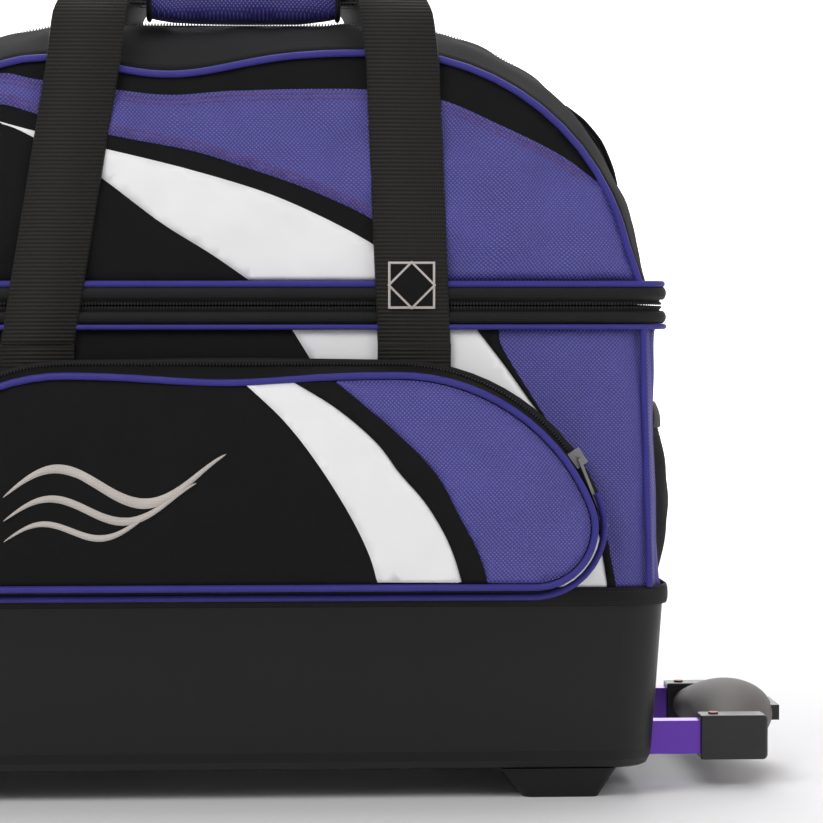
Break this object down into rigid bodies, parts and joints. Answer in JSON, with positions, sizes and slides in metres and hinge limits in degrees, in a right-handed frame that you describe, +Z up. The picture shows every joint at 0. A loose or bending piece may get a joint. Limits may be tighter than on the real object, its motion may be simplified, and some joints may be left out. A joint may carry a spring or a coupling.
{
  "type": "bowling ball roller bag",
  "caption": "In-line two-ball roller bag: moulded tub on wheels and feet, fabric ball compartment, arched shoe lid, zipped front pocket, carrying loops and sliding pull handle.",
  "frame": {"origin": "on the floor, under the middle of the whole bag's bounding box with the handle as stored", "axes": "+X along the bag towards the pull handle, +Y away from the zipped front pocket, +Z up"},
  "size_m": [0.7044, 0.3532, 0.587],
  "materials": {
    "moulded_black": "satin moulded polypropylene",
    "wheel_tread": "cast polyurethane tread",
    "wheel_hub": "moulded nylon",
    "bearing_steel": "bright steel",
    "rubber_pad": "matt",
    "guide_aluminium": "mill finish",
    "violet_aluminium": "violet anodised",
    "grip_rubber": "soft-touch overmould",
    "copper_rivet": "dull",
    "board": "hardboard",
    "foam": "cloth-faced foam",
    "body_fabric": "coated polyester and vinyl panels",
    "violet_piping": "covered cord",
    "black_mesh": "knitted mesh",
    "black_binding": "woven tape",
    "zip_coil": "nylon coil",
    "zip_metal": "die-cast, satin",
    "webbing": "ribbed polyester webbing",
    "violet_mesh": "padded ripstop",
    "patch_thread": "embroidery thread"
  },
  "bodies": {
    "base": {"tub": "moulded_black", "wheel_housings": "moulded_black", "rim_binding": "black_binding", "feet": "moulded_black", "foot_pads": "rubber_pad", "wheel_axles": "bearing_steel", "guide_tubes": "guide_aluminium", "guide_collars": "moulded_black", "base_board": "board", "foam_cradles": "foam", "ball_divider": "foam", "front_wall": "body_fabric", "back_wall": "body_fabric", "end_walls": "body_fabric", "body_piping": "violet_piping", "mesh_pocket": "black_mesh", "mesh_pocket_hem": "black_mesh", "zip_band_lower": "black_binding", "zip_coil_lower": "zip_coil", "lid_hinge_strip": "black_binding", "pocket_zip_tape": "black_binding", "strap_anchors": "webbing"},
    "wheel_front": {"wheel_tread_front": "wheel_tread", "wheel_hub_front": "wheel_hub", "wheel_bearings_front": "bearing_steel"},
    "wheel_rear": {"wheel_tread_rear": "wheel_tread", "wheel_hub_rear": "wheel_hub", "wheel_bearings_rear": "bearing_steel"},
    "pull_handle": {"pull_tube_front": "violet_aluminium", "pull_tube_rear": "violet_aluminium", "grip_socket_front": "moulded_black", "grip_socket_rear": "moulded_black", "grip_core": "moulded_black", "grip_cover": "grip_rubber", "socket_rivets": "copper_rivet"},
    "button": {"release_button": "moulded_black"},
    "lid": {"lid_face_front": "body_fabric", "lid_face_rear": "body_fabric", "lid_gusset": "body_fabric", "lid_piping": "violet_piping", "lid_floor": "board", "zip_band_upper": "black_binding", "zip_coil_upper": "zip_coil", "top_zip": "zip_coil"},
    "lid_slider": {"top_slider": "zip_metal"},
    "lid_pull": {"top_pull": "zip_metal"},
    "band_slider_1": {"band_slider_front": "zip_metal"},
    "band_slider_2": {"band_slider_rear": "zip_metal"},
    "band_pull_1": {"band_pull_front": "zip_metal"},
    "band_pull_2": {"band_pull_rear": "zip_metal"},
    "pocket": {"pocket_panel": "body_fabric", "pocket_gusset": "body_fabric", "pocket_piping": "violet_piping", "pocket_zip_coil": "zip_coil"},
    "pocket_zip_slider": {"pocket_slider": "zip_metal"},
    "pocket_zip_pull": {"pocket_pull": "zip_metal"},
    "front_loop": {"front_strap": "webbing", "grip_wrap": "violet_mesh", "strap_patch": "patch_thread"},
    "rear_loop": {"rear_strap": "webbing"}
  },
  "joints": [
    {"name": "wheel_front_spin", "type": "hinge", "parent": "base", "child": "wheel_front", "pos_m": [-0.2936, -0.10585, 0.05], "axis": [0, 1, 0], "continuous": true},
    {"name": "wheel_rear_spin", "type": "hinge", "parent": "base", "child": "wheel_rear", "pos_m": [-0.2936, 0.14215, 0.05], "axis": [0, 1, 0], "continuous": true},
    {"name": "handle_slide", "type": "slide", "parent": "base", "child": "pull_handle", "axis": [1, 0, 0], "range_m": [-0.036, 0.4]},
    {"name": "button_press", "type": "slide", "parent": "pull_handle", "child": "button", "axis": [-1, 0, 0], "range_m": [0, 0.004], "stiffness_N_per_m": 600, "springref_m": -0.003},
    {"name": "lid_open", "type": "hinge", "parent": "base", "child": "lid", "pos_m": [-0.0466, 0.17405, 0.349], "axis": [-1, 0, 0], "range_deg": [0, 54]},
    {"name": "front_loop_swing", "type": "hinge", "parent": "base", "child": "front_loop", "pos_m": [-0.0466, -0.13915, 0.322], "axis": [1, 0, 0], "range_deg": [0, 108]},
    {"name": "rear_loop_swing", "type": "hinge", "parent": "base", "child": "rear_loop", "pos_m": [-0.0466, 0.17405, 0.349], "axis": [-1, 0, 0], "range_deg": [0, 54]},
    {"name": "lid_slider_run", "type": "hinge", "parent": "lid", "child": "lid_slider", "pos_m": [-0.1506, 0.01815, 0.362], "axis": [0, 1, 0], "range_deg": [0, 55]},
    {"name": "lid_pull_swing", "type": "hinge", "parent": "lid_slider", "child": "lid_pull", "pos_m": [-0.31461, 0.01815, 0.46449], "axis": [0, 1, 0], "range_deg": [0, 90]},
    {"name": "band_slider_1_run", "type": "slide", "parent": "base", "child": "band_slider_1", "axis": [0, -1, 0], "range_m": [0, 0.1]},
    {"name": "band_slider_2_run", "type": "slide", "parent": "base", "child": "band_slider_2", "axis": [0, 1, 0], "range_m": [0, 0.1]},
    {"name": "band_pull_1_swing", "type": "hinge", "parent": "band_slider_1", "child": "band_pull_1", "pos_m": [-0.3512, 0.01065, 0.349], "axis": [0, 1, 0], "range_deg": [0, 80]},
    {"name": "band_pull_2_swing", "type": "hinge", "parent": "band_slider_2", "child": "band_pull_2", "pos_m": [-0.3512, 0.02565, 0.349], "axis": [0, 1, 0], "range_deg": [0, 80]},
    {"name": "pocket_open", "type": "hinge", "parent": "base", "child": "pocket", "pos_m": [-0.0466, -0.14015, 0.1433], "axis": [1, 0, 0], "range_deg": [0, 22]},
    {"name": "pocket_slider_run", "type": "hinge", "parent": "pocket", "child": "pocket_zip_slider", "pos_m": [0.0634, -0.14425, 0.161], "axis": [0, -1, 0], "range_deg": [0, 32]},
    {"name": "pocket_pull_swing", "type": "hinge", "parent": "pocket_zip_slider", "child": "pocket_zip_pull", "pos_m": [0.18842, -0.15325, 0.24533], "axis": [0, -1, 0], "range_deg": [0, 60]}
  ],
  "couplings": [
    {"joint": "front_loop_swing", "follows": "lid_open", "ratio": 2},
    {"joint": "rear_loop_swing", "follows": "lid_open", "ratio": 1}
  ]
}
